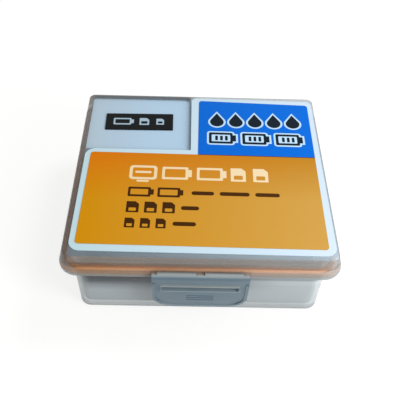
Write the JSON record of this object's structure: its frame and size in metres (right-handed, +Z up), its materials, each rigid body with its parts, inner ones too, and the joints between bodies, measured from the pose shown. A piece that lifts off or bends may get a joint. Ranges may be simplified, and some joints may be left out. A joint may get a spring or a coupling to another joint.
{
  "type": "hinged battery and memory card case",
  "caption": "Closed pocket case of translucent plastic with a hinged lid, seal ring, front latch flap, label and an insert for batteries and cards.",
  "frame": {"origin": "middle of the base's flat underside", "axes": "+X to the right, -Y to the front latch, +Z up through the lid"},
  "size_m": [0.1, 0.0998, 0.0344],
  "materials": {
    "base_plastic": "frosted translucent polypropylene",
    "lid_plastic": "translucent polypropylene, satin",
    "seal_silicone": "matte silicone",
    "latch_plastic": "translucent polypropylene, satin",
    "pin_steel": "bright drawn wire",
    "insert_plastic": "opaque grey polypropylene",
    "label_pale": "printed film, satin gloss",
    "label_orange": "printed film, satin gloss",
    "label_blue": "printed film, satin gloss",
    "window_pale": "pale card behind the lid's clear window",
    "plate_black": "glossy black, bare"
  },
  "bodies": {
    "base": {"base_shell": "base_plastic", "seal_ring": "seal_silicone", "hinge_pin_left": "pin_steel", "hinge_pin_right": "pin_steel", "battery_tray": "insert_plastic", "large_card_rack": "insert_plastic", "small_card_rack": "insert_plastic"},
    "lid": {"lid_shell": "lid_plastic", "latch_pin": "pin_steel", "label_sheet": "label_pale", "label_orange_panel": "label_orange", "label_blue_panel": "label_blue", "window_card": "window_pale", "name_plate": "plate_black"},
    "latch": {"front_latch": "latch_plastic"}
  },
  "joints": [
    {"name": "lid_hinge", "type": "hinge", "parent": "base", "child": "lid", "pos_m": [0, 0.0487, 0.0263], "axis": [-1, 0, 0], "range_deg": [0, 180]},
    {"name": "latch_hinge", "type": "hinge", "parent": "lid", "child": "latch", "pos_m": [0, -0.0479, 0.0275], "axis": [-1, 0, 0], "range_deg": [0, 90]}
  ]
}
